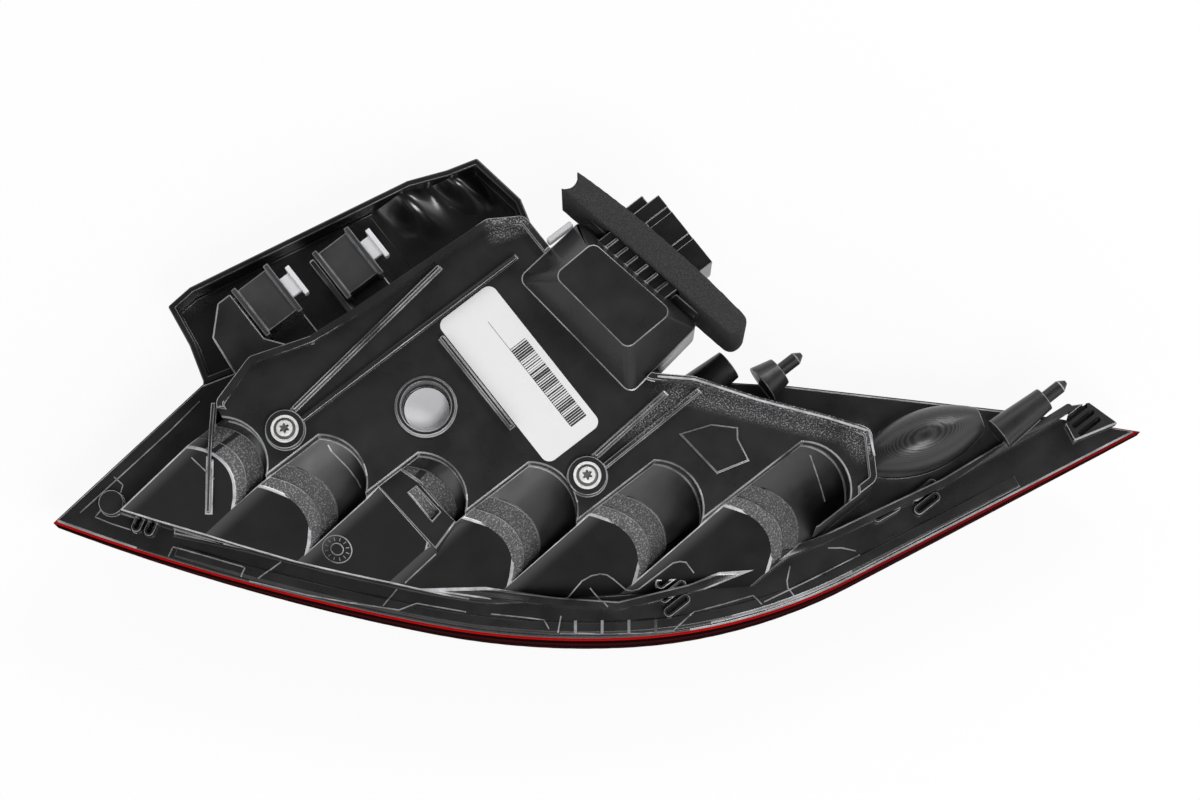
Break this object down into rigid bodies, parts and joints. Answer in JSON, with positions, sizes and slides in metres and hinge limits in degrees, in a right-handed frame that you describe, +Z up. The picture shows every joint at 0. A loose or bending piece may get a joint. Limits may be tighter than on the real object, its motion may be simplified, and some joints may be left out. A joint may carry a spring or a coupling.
{
  "type": "tail light cluster",
  "caption": "Left rear lamp of a family car, lens down: red bowl lens, black stepped housing with barrel chambers, trim tray, foam gasket and plug.",
  "frame": {"origin": "bottom centre of the bounding box, the lamp lying on its lens", "axes": "+X is the way the lamp is pushed home into the car body, +Z is up, away from the lens"},
  "size_m": [0.4037, 0.3115, 0.104],
  "materials": {
    "black_plastic": "satin moulded",
    "board": "solder mask",
    "bright_coat": "bright coated",
    "clear_plastic": "clear",
    "foam": "open foam",
    "gloss_black": "gloss",
    "grey_rubber": "moulded",
    "label_paper": "matt",
    "led": "gloss",
    "membrane": "felted film",
    "red_lens": "gloss, red tinted",
    "tin": "plated",
    "white_plastic": "moulded",
    "zinc_steel": "zinc plated"
  },
  "bodies": {
    "root": {"clip_holder_1": "black_plastic", "clip_holder_2": "black_plastic", "clip_insert_1": "white_plastic", "clip_insert_2": "white_plastic", "driver_board": "board", "foam_gasket": "foam", "inner_bezel": "gloss_black", "label": "label_paper", "led_board": "board", "led_chips": "led", "light_guide": "clear_plastic", "outer_lens": "red_lens", "plug_body": "black_plastic", "plug_pins": "tin", "rear_housing": "black_plastic", "reflector_cup_1": "bright_coat", "reflector_cup_2": "bright_coat", "reflector_cup_3": "bright_coat", "reflector_cup_4": "bright_coat", "reflector_cup_5": "bright_coat", "screw_1": "zinc_steel", "screw_2": "zinc_steel", "seal_strip": "grey_rubber", "trim_tray": "gloss_black", "vent_membrane": "membrane"}
  },
  "joints": []
}
